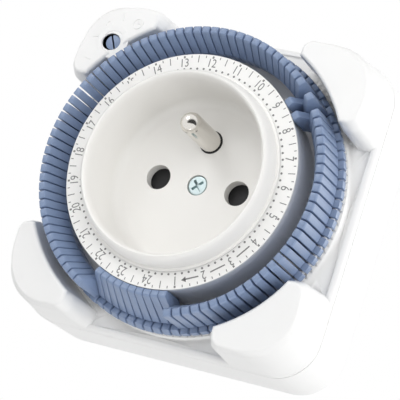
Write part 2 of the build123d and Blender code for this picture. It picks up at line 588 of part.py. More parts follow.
# ------------------------------------------------------------------------------ drum and segments
def gear(teeth, low, high, turn, bore):
    """A spur gear round the axis, with tapered flat-sided teeth and the backlash taken off each flank."""
    pitch = GEAR_MODULE * teeth / 2
    tip, root = pitch + GEAR_ADDENDUM * GEAR_MODULE, pitch - GEAR_DEDENDUM * GEAR_MODULE
    half = math.pi * GEAR_MODULE / 4 - GEAR_BACKLASH / 2
    slope = math.tan(math.radians(PRESSURE_ANGLE))
    points = []
    for tooth in range(teeth):
        middle = turn + FULL_TURN * tooth / teeth
        for radius, sign in ((root, -1), (tip, -1), (tip, 1), (root, 1)):
            width = half - (radius - pitch) * slope
            points.append(around(radius, middle + sign * math.degrees(width / radius)))
    body = extrude(plane_at(low) * make_face(Polyline(*points, close=True)), high - low)
    return body - disc(bore, low, high)


def make_program_drum():
    """Sleeve, deck and skirt in one, with a flange and web out to the bead that the segments snap onto."""
    deck_low = DIAL_BACK - DRUM_DECK
    skirt_inner = DRUM_SKIRT_RADIUS - DRUM_SKIRT_WALL
    rim = DIAL_RADIUS - 2 * SLIP
    body = turned([
        (DRUM_BORE, GEAR_TOP), (DRUM_BORE, DIAL_BACK), (rim, DIAL_BACK), (rim, deck_low),
        (DRUM_SKIRT_RADIUS, deck_low), (DRUM_SKIRT_RADIUS, DRUM_FLANGE_TOP),
        (DRUM_FLANGE_RADIUS, DRUM_FLANGE_TOP),
        (PIVOT_RADIUS, PIVOT_HEIGHT), (PIVOT_RADIUS + DRUM_WEB / 2, PIVOT_HEIGHT - DRUM_WEB),
        (DRUM_FLANGE_RADIUS + DRUM_WEB, DRUM_FLANGE_BOTTOM + DRUM_WEB),
        (DRUM_FLANGE_RADIUS, DRUM_FLANGE_BOTTOM), (skirt_inner, DRUM_FLANGE_BOTTOM), (skirt_inner, deck_low),
        (DRUM_SLEEVE_RADIUS, deck_low), (DRUM_SLEEVE_RADIUS, GEAR_TOP)])
    bead = [(PIVOT_RADIUS + BEAD_RADIUS * math.cos(math.radians(a)),
             PIVOT_HEIGHT + BEAD_RADIUS * math.sin(math.radians(a))) for a in range(0, FULL_TURN, 30)]
    body += turned(bead)
    gap_turn = MOTOR_ANGLE + FULL_TURN / DRUM_TEETH / 2
    return body + gear(DRUM_TEETH, GEAR_BOTTOM, GEAR_TOP, gap_turn, DRUM_BORE)


def make_dial_ring():
    return ring(DIAL_RADIUS, DRUM_BORE + SLIP, DIAL_BACK, DIAL_FACE)


def polar(radius, angle):
    """A point of a segment's section, from its distance and direction off the pivot."""
    return flat(PIVOT_RADIUS + radius * math.cos(math.radians(angle)),
                PIVOT_HEIGHT + radius * math.sin(math.radians(angle)))


def segment_face():
    """A segment's section standing out: arm, groove, foot, trip nose and the open socket round the bead."""
    outer = SEGMENT_TOP_OUTER + 2 * SEGMENT_CHAMFER
    face_foot = FOOT_TOP + GROOVE_HEIGHT
    nose_out = polar(FOOT_RADIUS, NOSE_ANGLE)
    nose_in = (nose_out[0] - NOSE_WIDTH, nose_out[1] + NOSE_LENGTH)
    mouth_low = polar(SOCKET_BEAD_RADIUS, NOSE_ANGLE)
    mouth_high = polar(SOCKET_BEAD_RADIUS, MOUTH_ANGLE)
    arm = Polyline(
        mouth_high,
        flat(PIVOT_RADIUS - FOOT_RADIUS, PIVOT_HEIGHT + SEGMENT_CHAMFER),
        flat(SEGMENT_ROOT_INNER + SEGMENT_CHAMFER, SEGMENT_ROOT_HEIGHT - 2 * SEGMENT_CHAMFER),
        flat(SEGMENT_ROOT_INNER, SEGMENT_ROOT_HEIGHT),
        flat(SEGMENT_TOP_INNER - SEGMENT_CHAMFER, SEGMENT_TOP - 1.5 * SEGMENT_CHAMFER),
        flat(SEGMENT_TOP_INNER, SEGMENT_TOP),
        flat(SEGMENT_TOP_OUTER, SEGMENT_TOP - SEGMENT_CHAMFER / 4),
        flat(SEGMENT_TOP_OUTER + SEGMENT_CHAMFER, SEGMENT_TOP - 1.5 * SEGMENT_CHAMFER),
        flat(outer, face_foot),
        flat(outer - GROOVE_DEPTH, face_foot - GROOVE_HEIGHT / 4),
        flat(outer - GROOVE_DEPTH, FOOT_TOP),
        flat(FOOT_OUTER_RADIUS, FOOT_TOP - SEGMENT_CHAMFER / 4),
        polar(FOOT_RADIUS, 0),
        polar(FOOT_RADIUS, NOSE_ANGLE / 2),
        nose_out,
        (nose_out[0] + NOSE_WIDTH / 4, nose_in[1]),
        nose_in,
        mouth_low)
    socket = ThreePointArc(mouth_low, polar(SOCKET_BEAD_RADIUS, (NOSE_ANGLE + MOUTH_ANGLE) / 2), mouth_high)
    return make_face([arm, socket])


def make_segment(quarter, tilt):
    """The segment for one quarter hour, counted from midnight, tilted in by an angle about its bead."""
    body = extrude(segment_face(), SEGMENT_WIDTH / 2, both=True)
    pivot = flat(PIVOT_RADIUS, PIVOT_HEIGHT)
    body = body.rotate(Axis((pivot[0], pivot[1], 0), (0, 0, 1)), -tilt)
    return swung(body, DIAL_ANGLE + FULL_TURN * (quarter + 0.5) / SEGMENT_COUNT)


def on_quarters():
    """The quarter hours whose segments are tilted in, which is when the socket is live."""
    run = [int(ON_RUN_START * SEGMENTS_PER_HOUR) + n for n in range(ON_RUN_QUARTERS)]
    singles = [int(hour * SEGMENTS_PER_HOUR) for hour in ON_SINGLES]
    return [quarter % SEGMENT_COUNT for quarter in run + singles]


def segment_name(quarter):
    hour, step = divmod(quarter, SEGMENTS_PER_HOUR)
    return f"segment_{hour:02d}_{60 // SEGMENTS_PER_HOUR * step:02d}"


# ------------------------------------------------------------------------------------------ drive
def make_motor_case():
    place = around(MOTOR_PLACE_RADIUS, MOTOR_ANGLE)
    body = disc(MOTOR_RADIUS, BACK_FLOOR, MOTOR_TOP, place)
    body = fillet(body.faces().sort_by(Axis.Y)[0].edges(), MOTOR_EDGE_RADIUS)
    return body - disc(PINION_SHAFT_RADIUS + SHAFT_GAP, MOTOR_TOP - MOTOR_SHAFT_DEPTH, MOTOR_TOP, place)


def make_motor_pinion():
    place = around(MOTOR_PLACE_RADIUS, MOTOR_ANGLE)
    body = gear(PINION_TEETH, GEAR_BOTTOM, GEAR_TOP, MOTOR_ANGLE + FULL_TURN / 2, PINION_SHAFT_RADIUS / 2)
    body += disc(PINION_SHAFT_RADIUS, MOTOR_TOP - MOTOR_SHAFT_DEPTH + 2 * SLIP, GEAR_TOP)
    return Pos(place[0], 0, place[1]) * body


# ------------------------------------------------------------------------- mode knob, trip lever
def make_mode_knob():
    place = around(KNOB_PLACE_RADIUS, KNOB_PLACE_ANGLE)
    knob = disc(KNOB_RADIUS, KNOB_SEAT + SLIP, KNOB_TOP, place)
    knob = chamfer(knob.faces().sort_by(Axis.Y)[0].edges(), KNOB_EDGE_CHAMFER)
    slot_low = KNOB_TOP - KNOB_SLOT_DEPTH
    knob -= block(2 * KNOB_RADIUS, KNOB_SLOT_WIDTH, slot_low, KNOB_TOP, place, KNOB_PLACE_ANGLE)
    cam_high = PARTING_LINE - SLIP
    knob += disc(KNOB_SHAFT_RADIUS, cam_high - KNOB_CAM_HEIGHT, KNOB_SEAT + SLIP, place)
    return knob + disc(KNOB_CAM_RADIUS, cam_high - KNOB_CAM_HEIGHT, cam_high, place)


def trip_pin(gap):
    centre = flat(TRIP_PIVOT_RADIUS, TRIP_PIVOT_HEIGHT)
    length = TRIP_WIDTH + 2 * SLIP + 2 * (TRIP_EAR_WALL - 2 * SLIP)
    return Pos(centre[0], centre[1], 0) * Cylinder(TRIP_PIN_RADIUS + gap, length + 2 * gap)


def make_trip_lever():
    """A bell crank: one arm stands up beside the segments' noses, the other lies over the plunger."""
    low = SWITCH_TOP + PLUNGER_STAND + LEVER_TO_PLUNGER
    hub = flat(TRIP_PIVOT_RADIUS, TRIP_PIVOT_HEIGHT)
    body = extrude(Pos(*hub) * Circle(TRIP_HUB_RADIUS), TRIP_WIDTH / 2, both=True)
    body += slab([(TRIP_TIP_RADIUS, TRIP_TIP_HEIGHT - TRIP_TIP_CHAMFER),
                  (TRIP_TIP_RADIUS + TRIP_TIP_CHAMFER, TRIP_TIP_HEIGHT),
                  (TRIP_TIP_RADIUS + TRIP_ARM, TRIP_TIP_HEIGHT),
                  (TRIP_PIVOT_RADIUS + TRIP_PIN_RADIUS, TRIP_PIVOT_HEIGHT),
                  (TRIP_PIVOT_RADIUS - TRIP_PIN_RADIUS, TRIP_PIVOT_HEIGHT)], TRIP_WIDTH)
    arm_end = PLUNGER_PLACE_RADIUS - PLUNGER_RADIUS
    body += slab([(arm_end, low), (arm_end, low + TRIP_ARM),
                  (TRIP_PIVOT_RADIUS, TRIP_PIVOT_HEIGHT + TRIP_ARM / 2),
                  (TRIP_PIVOT_RADIUS, TRIP_PIVOT_HEIGHT - TRIP_HUB_RADIUS / 2)], TRIP_WIDTH)
    body -= Pos(hub[0], hub[1], 0) * Cylinder(TRIP_PIN_RADIUS + SHAFT_GAP, TRIP_WIDTH)
    return swung(body, TRIP_ANGLE)


def make_microswitch():
    place = around(SWITCH_INNER_RADIUS + SWITCH_LENGTH / 2, TRIP_ANGLE)
    body = block(SWITCH_LENGTH, SWITCH_WIDTH, BACK_FLOOR, SWITCH_TOP, place, TRIP_ANGLE)
    body = chamfer(body.faces().sort_by(Axis.Y)[0].edges(), SWITCH_EDGE_CHAMFER)
    hole = around(PLUNGER_PLACE_RADIUS, TRIP_ANGLE)
    hole_low = SWITCH_TOP - PLUNGER_DEPTH - PLUNGER_ROOM
    return body - disc(PLUNGER_RADIUS + SHAFT_GAP, hole_low, SWITCH_TOP, hole)


def make_switch_plunger():
    place = around(PLUNGER_PLACE_RADIUS, TRIP_ANGLE)
    return disc(PLUNGER_RADIUS, SWITCH_TOP - PLUNGER_DEPTH, SWITCH_TOP + PLUNGER_STAND, place)


def main():
    parts = {
        "rear_housing": make_rear_housing(),
        "front_housing": make_front_housing(),
        "housing_screws": make_housing_screws(),
        "socket_cup": make_socket_cup(),
        "centre_screw": make_centre_screw(),
        "front_earth_pin": make_front_earth_pin(),
        "safety_shutter": make_shutter(),
        "contact_carrier": make_contact_carrier(),
        "line_contact": make_socket_contact(1),
        "neutral_contact": make_socket_contact(-1),
        "line_plug_pin": make_plug_pin(1),
        "neutral_plug_pin": make_plug_pin(-1),
        "earth_sleeve": make_earth_sleeve(),
        "program_drum": make_program_drum(),
        "dial_ring": make_dial_ring(),
        "motor_case": make_motor_case(),
        "motor_pinion": make_motor_pinion(),
        "mode_knob": make_mode_knob(),
        "trip_lever": make_trip_lever(),
        "trip_lever_pin": swung(trip_pin(0.0), TRIP_ANGLE),
        "microswitch": make_microswitch(),
        "switch_plunger": make_switch_plunger(),
    }
    on = on_quarters()
    parts["segments_off"] = Compound(
        children=[make_segment(quarter, 0) for quarter in range(SEGMENT_COUNT) if quarter not in on])
    for quarter in on:
        parts[segment_name(quarter)] = make_segment(quarter, SEGMENT_TILT)
    os.makedirs("parts", exist_ok=True)
    for name, part in parts.items():
        export_step(part, f"parts/{name}.step")


main()
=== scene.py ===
import bmesh
import bpy
import math
from mathutils import Matrix, Vector


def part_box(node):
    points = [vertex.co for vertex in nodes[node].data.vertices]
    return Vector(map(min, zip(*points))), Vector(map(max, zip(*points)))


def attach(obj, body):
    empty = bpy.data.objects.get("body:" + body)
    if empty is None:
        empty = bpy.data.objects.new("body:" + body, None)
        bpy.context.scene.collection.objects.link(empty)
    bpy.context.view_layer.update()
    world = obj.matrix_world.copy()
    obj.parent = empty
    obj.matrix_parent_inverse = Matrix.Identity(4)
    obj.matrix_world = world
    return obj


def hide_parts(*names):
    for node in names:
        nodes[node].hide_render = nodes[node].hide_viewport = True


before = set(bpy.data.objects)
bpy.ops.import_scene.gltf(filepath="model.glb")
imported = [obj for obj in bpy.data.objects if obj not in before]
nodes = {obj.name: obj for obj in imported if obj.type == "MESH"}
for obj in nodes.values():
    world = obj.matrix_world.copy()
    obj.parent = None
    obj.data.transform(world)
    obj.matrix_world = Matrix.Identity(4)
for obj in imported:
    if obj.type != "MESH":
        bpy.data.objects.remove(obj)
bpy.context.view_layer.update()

# ------------------------------------------------------------------------------------------ studio
# A pale floor far below the switch, which hangs free as if plugged into a wall that isn't shown. Soft boxes
# and the pale room light it. The room and the floor are white to the camera and in gloss, except that the
# dim side of the room, behind the camera, puts a dark spot in polished metal.
MM = 0.001
view = bpy.context.scene
view.view_settings.view_transform = "Standard"

CAMERA_PLACE = (186.32 * MM, -411.73 * MM, -92.99 * MM)
CAMERA_TURN = (102.804, -17.697, 22.360)
SENSOR_WIDTH = 36
LENS = 179.09
NEAREST = 0.05
FARTHEST = 10
camera = bpy.data.objects.new("camera", bpy.data.cameras.new("camera"))
view.collection.objects.link(camera)
camera.location = CAMERA_PLACE
camera.rotation_euler = [math.radians(angle) for angle in CAMERA_TURN]
camera.data.sensor_width = SENSOR_WIDTH
camera.data.lens = LENS
camera.data.clip_start = NEAREST
camera.data.clip_end = FARTHEST
view.camera = camera

SEEN_WHITE = 1.0
ROOM_COLOUR = (1.0, 1.0, 1.0, 1.0)
ROOM_LIGHT = 0.62
DIM_SIDE = (0.50, -0.80, -0.33)
DIM_EDGE = 60
DIM_CORE = 40
DIM_LEVEL = 0.06


def seen_white(tree, lit_socket, white_socket, out):
    """Shows the white shader to the camera and in reflections, and the lit one to everything else."""
    path = tree.nodes.new("ShaderNodeLightPath")
    glossy = tree.nodes.new("ShaderNodeMath")
    glossy.operation = "MAXIMUM"
    through = tree.nodes.new("ShaderNodeMath")
    through.operation = "MAXIMUM"
    tree.links.new(path.outputs["Is Camera Ray"], glossy.inputs[0])
    tree.links.new(path.outputs["Is Glossy Ray"], glossy.inputs[1])
    tree.links.new(glossy.outputs[0], through.inputs[0])
    tree.links.new(path.outputs["Is Transmission Ray"], through.inputs[1])
    mix = tree.nodes.new("ShaderNodeMixShader")
    tree.links.new(through.outputs[0], mix.inputs[0])
    tree.links.new(lit_socket, mix.inputs[1])
    tree.links.new(white_socket, mix.inputs[2])
    tree.links.new(mix.outputs[0], out)


world = bpy.data.worlds.new("pale_room")
view.world = world
world.use_nodes = True
room = world.node_tree
room.nodes.clear()
room_out = room.nodes.new("ShaderNodeOutputWorld")
room_lit = room.nodes.new("ShaderNodeBackground")
room_lit.inputs["Color"].default_value = ROOM_COLOUR
room_lit.inputs["Strength"].default_value = ROOM_LIGHT
room_white = room.nodes.new("ShaderNodeBackground")
room_white.inputs["Color"].default_value = ROOM_COLOUR
direction = room.nodes.new("ShaderNodeTexCoord")
toward = room.nodes.new("ShaderNodeVectorMath")
toward.operation = "DOT_PRODUCT"
toward.inputs[1].default_value = Vector(DIM_SIDE).normalized()
room.links.new(direction.outputs["Generated"], toward.inputs[0])
dim = room.nodes.new("ShaderNodeMapRange")
dim.interpolation_type = "SMOOTHSTEP"
dim.inputs["From Min"].default_value = math.cos(math.radians(DIM_EDGE))
dim.inputs["From Max"].default_value = math.cos(math.radians(DIM_CORE))
dim.inputs["To Min"].default_value = SEEN_WHITE
dim.inputs["To Max"].default_value = DIM_LEVEL
room.links.new(toward.outputs["Value"], dim.inputs["Value"])
room_path = room.nodes.new("ShaderNodeLightPath")
backdrop = room.nodes.new("ShaderNodeMath")
backdrop.operation = "MAXIMUM"
room.links.new(dim.outputs["Result"], backdrop.inputs[0])
room.links.new(room_path.outputs["Is Camera Ray"], backdrop.inputs[1])
room.links.new(backdrop.outputs[0], room_white.inputs["Strength"])
seen_white(room, room_lit.outputs[0], room_white.outputs[0], room_out.inputs["Surface"])

FLOOR_DROP = 1.8
FLOOR_HALF = 6.0
FLOOR_COLOUR = (0.86, 0.86, 0.86, 1)
floor_mesh = bpy.data.meshes.new("floor")
floor_shape = bmesh.new()
bmesh.ops.create_grid(floor_shape, x_segments=1, y_segments=1, size=FLOOR_HALF,
                      matrix=Matrix.Translation((0, 0, -FLOOR_DROP)))
floor_shape.to_mesh(floor_mesh)
floor_shape.free()
floor = bpy.data.objects.new("floor", floor_mesh)
view.collection.objects.link(floor)
floor_paint = bpy.data.materials.new("pale_floor")
floor_paint.use_nodes = True
floor_tree = floor_paint.node_tree
floor_tree.nodes.clear()
floor_out = floor_tree.nodes.new("ShaderNodeOutputMaterial")
floor_lit = floor_tree.nodes.new("ShaderNodeBsdfDiffuse")
floor_lit.inputs["Color"].default_value = FLOOR_COLOUR
floor_white = floor_tree.nodes.new("ShaderNodeEmission")
floor_white.inputs["Strength"].default_value = SEEN_WHITE
seen_white(floor_tree, floor_lit.outputs[0], floor_white.outputs[0], floor_out.inputs["Surface"])
floor_mesh.materials.append(floor_paint)


def soft_box(name, place, size, watts, in_gloss=True):
    """A square studio lamp that faces the switch from a place in metres, shown in gloss or not."""
    lamp = bpy.data.lights.new(name, "AREA")
    lamp.shape = "SQUARE"
    lamp.size = size
    lamp.energy = watts
    holder = bpy.data.objects.new(name, lamp)
    view.collection.objects.link(holder)
    holder.location = place
    holder.rotation_euler = (-Vector(place)).to_track_quat("-Z", "Y").to_euler()
    holder.visible_glossy = in_gloss


soft_box("upper_left_box", (-0.75, -1.25, 0.85), 0.7, 5.6)
soft_box("front_box", (-0.1, -1.6, -0.1), 0.6, 1.4, in_gloss=False)
soft_box("upper_right_box", (0.6, -1.4, 0.6), 1.0, 5.0, in_gloss=False)
soft_box("right_box", (1.4, -0.7, -0.1), 0.9, 7.0, in_gloss=False)
soft_box("right_rim_box", (1.2, 0.9, 0.3), 1.0, 9.5)
soft_box("low_rim_box", (0.2, 0.3, -1.4), 1.0, 4.5)

# ------------------------------------------------------------------------------------- rear housing
# Back half of the case, moulded in white polycarbonate with a fine matt grain; four screws from behind
# hold it to the front half, and their wells show in its back round the plug.
GRAIN_SIZE = 0.35 * MM
GRAIN_DEPTH = 0.02 * MM
GRAIN_DETAIL = 2
CLOUDS_PER_METRE = 60
CLOUD_DETAIL = 3
SHEEN_SPREAD = 0.06
PLASTIC_IOR = 1.5
FIRST_COLOUR = 6
SECOND_COLOUR = 7
MIXED_COLOUR = 2


def plastic(name, colour, roughness, grain=0.25, shade=0.04):
    """Moulded plastic: a fine pitted grain, faint clouding of the colour and an uneven sheen."""
    paint = bpy.data.materials.new(name)
    paint.use_nodes = True
    tree = paint.node_tree
    shader = tree.nodes["Principled BSDF"]
    shader.inputs["IOR"].default_value = PLASTIC_IOR
    where = tree.nodes.new("ShaderNodeTexCoord")
    cloud = tree.nodes.new("ShaderNodeTexNoise")
    cloud.inputs["Scale"].default_value = CLOUDS_PER_METRE
    cloud.inputs["Detail"].default_value = CLOUD_DETAIL
    tree.links.new(where.outputs["Object"], cloud.inputs["Vector"])
    tint = tree.nodes.new("ShaderNodeMix")
    tint.data_type = "RGBA"
    tint.inputs[FIRST_COLOUR].default_value = (*[c * (1 - shade) for c in colour], 1)
    tint.inputs[SECOND_COLOUR].default_value = (*[min(1, c * (1 + shade)) for c in colour], 1)
    tree.links.new(cloud.outputs["Fac"], tint.inputs[0])
    tree.links.new(tint.outputs[MIXED_COLOUR], shader.inputs["Base Color"])
    pits = tree.nodes.new("ShaderNodeTexNoise")
    pits.inputs["Scale"].default_value = 1 / GRAIN_SIZE
    pits.inputs["Detail"].default_value = GRAIN_DETAIL
    tree.links.new(where.outputs["Object"], pits.inputs["Vector"])
    sheen = tree.nodes.new("ShaderNodeMapRange")
    sheen.inputs["To Min"].default_value = roughness - SHEEN_SPREAD
    sheen.inputs["To Max"].default_value = roughness + SHEEN_SPREAD
    tree.links.new(pits.outputs["Fac"], sheen.inputs["Value"])
    tree.links.new(sheen.outputs["Result"], shader.inputs["Roughness"])
    bump = tree.nodes.new("ShaderNodeBump")
    bump.inputs["Strength"].default_value = grain
    bump.inputs["Distance"].default_value = GRAIN_DEPTH
    tree.links.new(pits.outputs["Fac"], bump.inputs["Height"])
    tree.links.new(bump.outputs["Normal"], shader.inputs["Normal"])
    return paint


def dress(node, paint):
    """Gives a CAD node its material."""
    mesh = nodes[node].data
    if not mesh.materials:
        mesh.materials.append(paint)
    for place in range(len(mesh.materials)):
        mesh.materials[place] = paint
    return nodes[node]


white_case = plastic("white_polycarbonate", (0.86, 0.86, 0.855), 0.42)
dress("rear_housing", white_case)

STREAK_SIZE = 0.2 * MM
STREAK_DETAIL = 3
STREAK_STRETCH = (1, 0.05, 1)
STREAK_SHADE = 0.88
SMOOTHEST = 0.05


def metal(name, colour, roughness, streak=0.08):
    """Bare or plated metal with fine drawing marks along the axis of the switch."""
    paint = bpy.data.materials.new(name)
    paint.use_nodes = True
    tree = paint.node_tree
    shader = tree.nodes["Principled BSDF"]
    shader.inputs["Metallic"].default_value = 1.0
    where = tree.nodes.new("ShaderNodeTexCoord")
    along = tree.nodes.new("ShaderNodeMapping")
    along.inputs["Scale"].default_value = STREAK_STRETCH
    tree.links.new(where.outputs["Object"], along.inputs["Vector"])
    streaks = tree.nodes.new("ShaderNodeTexNoise")
    streaks.inputs["Scale"].default_value = 1 / STREAK_SIZE
    streaks.inputs["Detail"].default_value = STREAK_DETAIL
    tree.links.new(along.outputs["Vector"], streaks.inputs["Vector"])
    tint = tree.nodes.new("ShaderNodeMix")
    tint.data_type = "RGBA"
    tint.inputs[FIRST_COLOUR].default_value = (*[c * STREAK_SHADE for c in colour], 1)
    tint.inputs[SECOND_COLOUR].default_value = (*colour, 1)
    tree.links.new(streaks.outputs["Fac"], tint.inputs[0])
    tree.links.new(tint.outputs[MIXED_COLOUR], shader.inputs["Base Color"])
    worn = tree.nodes.new("ShaderNodeMapRange")
    worn.inputs["To Min"].default_value = max(SMOOTHEST, roughness - streak)
    worn.inputs["To Max"].default_value = roughness + streak
    tree.links.new(streaks.outputs["Fac"], worn.inputs["Value"])
    tree.links.new(worn.outputs["Result"], shader.inputs["Roughness"])
    return paint


zinc = metal("zinc_plate", (0.57, 0.67, 0.68), 0.32)
dress("housing_screws", zinc)

# ------------------------------------------------------------------------------------ front housing
# Front half of the case in the same white plastic: a thin plate with a rounded rim, a collar round the
# segment ring and four corner guards that stand up round it. The upper left guard holds the mode knob, and
# its outer corner is fuller than the others', with a wall that stands nearly upright.
dress("front_housing", white_case)
SOCKET_FLOOR = -38.5
MERGE = 0.001 * MM
SMOOTH_ANGLE = 35
KNOB_PLACE = (-26.76, 25.84)
BOSS_REACH = 5.0
BOSS_EDGE = 5.0
CORNER_MIDDLE = 26.1
CORNER_START = 4.5
CORNER_BLEND = 3.0
RING_EDGE = 36.0
RING_BLEND = 4.0
PARTING = -6.0
WALL_TOP = 8.0
WALL_GROWTH = 0.9
CORNER_GROWTH = 1.2
FACET_TILT = 10.0
FACET_SLOPE = math.tan(math.radians(FACET_TILT)) * math.sqrt(0.5)


def new_piece(name, shape, paint, body):
    """Makes an object of a finished bmesh, smooth up to an angle, and lets it ride on a body."""
    mesh = bpy.data.meshes.new(name)
    shape.to_mesh(mesh)
    shape.free()
    mesh.materials.append(paint)
    mesh.shade_smooth()
    mesh.set_sharp_from_angle(angle=math.radians(SMOOTH_ANGLE))
    piece = bpy.data.objects.new(name, mesh)
    view.collection.objects.link(piece)
    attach(piece, body)
    return piece


def blend(value, start, width):
    """Nought up to a start, one past a width further on, and even between them."""
    return min(1, max(0, (value - start) / width))


# The corner spreads from the parting line up, most on the diagonal, and its top keeps its slope.
front = bmesh.new()
front.from_mesh(nodes["front_housing"].data)
bmesh.ops.remove_doubles(front, verts=front.verts, dist=MERGE)
for v in front.verts:
    left = max(0, -v.co.x / MM - CORNER_MIDDLE)
    up = max(0, v.co.z / MM - CORNER_MIDDLE)
    height = SOCKET_FLOOR - v.co.y / MM
    reach = math.hypot(left, up)
    if height < PARTING or v.co.x > 0 or v.co.z < 0 or reach == 0:
        continue
    share = blend(reach, CORNER_START, CORNER_BLEND)
    share *= blend(math.hypot(v.co.x, v.co.z) / MM, RING_EDGE, RING_BLEND)
    share *= (height - PARTING) / (WALL_TOP - PARTING)
    growth = share * (WALL_GROWTH + CORNER_GROWTH * 2 * left * up / reach ** 2)
    v.co.x -= growth * left / reach * MM
    v.co.z += growth * up / reach * MM
    v.co.y += growth * (left + up) / reach * FACET_SLOPE * MM
# The edges of the knob's boss stay crisp.
front.edges.index_update()
boss_edges = [e.index for e in front.edges if e.calc_face_angle(0) > math.radians(BOSS_EDGE)
              and all(math.hypot(v.co.x / MM - KNOB_PLACE[0], v.co.z / MM - KNOB_PLACE[1]) < BOSS_REACH
                      for v in e.verts)]
front_shell = new_piece("front_shell", front, white_case, "housing")
for index in boss_edges:
    front_shell.data.edges[index].use_edge_sharp = True
front_shell.modifiers.new("even_flats", "WEIGHTED_NORMAL").keep_sharp = True
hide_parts("front_housing")

# ---------------------------------------------------------------------------------------- mode knob
# Blue slotted actuator sunk in its boss on the upper left guard, turned with a screwdriver to hold the
# socket on, off, or on the timer. Its hole narrows under the rim to an oval mouth, and a black sleeve lines
# the gap round its head: painted shade that darkens the deep gap as its shadow would.
blue = plastic("blue_polyacetal", (0.207, 0.276, 0.424), 0.36, grain=0.18, shade=0.05)
black = plastic("black_shutter_plastic", (0.012, 0.012, 0.014), 0.5)
HEAD_RADIUS = 1.75
HEAD_TOP = 7.6
SLOT_WIDTH = 0.28
SLOT_FLOOR = 7.2
SLOT_TURN = 118
EDGE_ROUND = 0.12
KNOB_STEPS = 40
KNOB_BODY = [(HEAD_RADIUS, 5.6), (2.5, 5.6), (2.5, 2.1), (1.8, 2.1), (1.8, -7.1), (2.6, -7.1), (2.6, -8.5),
             (0, -8.5)]
HOLE_RADIUS = 2.68
MOUTH_HALF_WIDTH = 2.25
MOUTH_HALF_HEIGHT = 1.98
MOUTH_SHIFT = -0.35
MOUTH_TOP = 7.92
MOUTH_FOOT = 7.55
# Section of the black sleeve in the gap round the knob's head, painted shade for the deep shadow there.
SHADE_SLEEVE = [(1.82, 6.3), (2.5, 6.3), (2.5, 7.5), (HOLE_RADIUS, 7.5), (HOLE_RADIUS, 6.1), (1.82, 6.1)]


def turned(shape, section, closed, steps):
    """Turns a section of (radius, height) points round the socket's axis, as a closed skin."""
    points = [shape.verts.new((radius * MM, (SOCKET_FLOOR - height) * MM, 0)) for radius, height in section]
    pairs = list(zip(points, points[1:])) + ([(points[-1], points[0])] if closed else [])
    outline = [shape.edges.new(pair) for pair in pairs]
    bmesh.ops.spin(shape, geom=points + outline, cent=(0, 0, 0), axis=(0, 1, 0), angle=2 * math.pi,
                   steps=steps, use_merge=True)
    bmesh.ops.remove_doubles(shape, verts=shape.verts, dist=MERGE)
    bmesh.ops.recalc_face_normals(shape, faces=shape.faces)


def to_face(height):
    """Takes a drawing in X and Y to the plane that faces the user at a height above the socket floor."""
    return (Matrix.Translation((0, (SOCKET_FLOOR - height) * MM, 0))
            @ Matrix.Rotation(math.radians(90), 4, "X"))


def turn(angle):
    """A turn in the plane of a drawing."""
    return Matrix.Rotation(math.radians(angle), 4, "Z")


def to_knob(shape):
    """Moves a shape from the socket's axis to the knob's."""
    bmesh.ops.translate(shape, verts=shape.verts, vec=(KNOB_PLACE[0] * MM, 0, KNOB_PLACE[1] * MM))


knob_shape = bmesh.new()
turned(knob_shape, [(0, SLOT_FLOOR), (HEAD_RADIUS, SLOT_FLOOR)] + KNOB_BODY, False, KNOB_STEPS)
for side in (-1, 1):
    lobe = bmesh.new()
    bmesh.ops.create_circle(lobe, cap_ends=True, segments=KNOB_STEPS, radius=HEAD_RADIUS * MM)
    bmesh.ops.bisect_plane(lobe, geom=lobe.verts[:] + lobe.edges[:] + lobe.faces[:], clear_inner=True,
                           plane_co=(0, side * SLOT_WIDTH / 2 * MM, 0), plane_no=(0, side, 0))
    grown = bmesh.ops.extrude_face_region(lobe, geom=lobe.faces[:])
    raised = [v for v in grown["geom"] if isinstance(v, bmesh.types.BMVert)]
    bmesh.ops.translate(lobe, verts=raised, vec=(0, 0, (HEAD_TOP - SLOT_FLOOR) * MM))
    bmesh.ops.recalc_face_normals(lobe, faces=lobe.faces)
    rim = [e for e in lobe.edges if all(v in raised for v in e.verts)]
    bmesh.ops.bevel(lobe, geom=rim, offset=EDGE_ROUND * MM, segments=2, profile=0.5, affect="EDGES",
                    material=-1, clamp_overlap=True)
    bmesh.ops.transform(lobe, matrix=to_face(SLOT_FLOOR) @ turn(SLOT_TURN), verts=lobe.verts)
    half = bpy.data.meshes.new("knob_half")
    lobe.to_mesh(half)
    lobe.free()
    knob_shape.from_mesh(half)
    bpy.data.meshes.remove(half)
to_knob(knob_shape)
slotted_knob = new_piece("slotted_knob", knob_shape, blue, "knob")
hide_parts("mode_knob")

mouth = bmesh.new()
mouth_loops = []
round_rim = (0, HOLE_RADIUS, HOLE_RADIUS)
oval_rim = (MOUTH_SHIFT, MOUTH_HALF_WIDTH, MOUTH_HALF_HEIGHT)
for (shift, across, upright), height in ((round_rim, MOUTH_TOP), (oval_rim, MOUTH_TOP),
                                         (oval_rim, MOUTH_FOOT), (round_rim, MOUTH_FOOT)):
    place = to_face(height) @ Matrix.Translation((shift * MM, 0, 0))
    made = bmesh.ops.create_circle(mouth, segments=KNOB_STEPS, radius=MM,
                                   matrix=place @ Matrix.Diagonal((across, upright, 1, 1)))
    mouth_loops.append(list({e for v in made["verts"] for e in v.link_edges}))
for first, second in zip(mouth_loops, mouth_loops[1:] + mouth_loops[:1]):
    bmesh.ops.bridge_loops(mouth, edges=first + second)
bmesh.ops.recalc_face_normals(mouth, faces=mouth.faces)
to_knob(mouth)
new_piece("knob_hole_lip", mouth, white_case, "housing")
# Black sleeve lining the gap round the head: painted shade standing in for the deep shadow in the hole.
shade_sleeve = bmesh.new()
turned(shade_sleeve, SHADE_SLEEVE, True, KNOB_STEPS)
to_knob(shade_sleeve)
new_piece("knob_shade_sleeve", shade_sleeve, black, "housing")

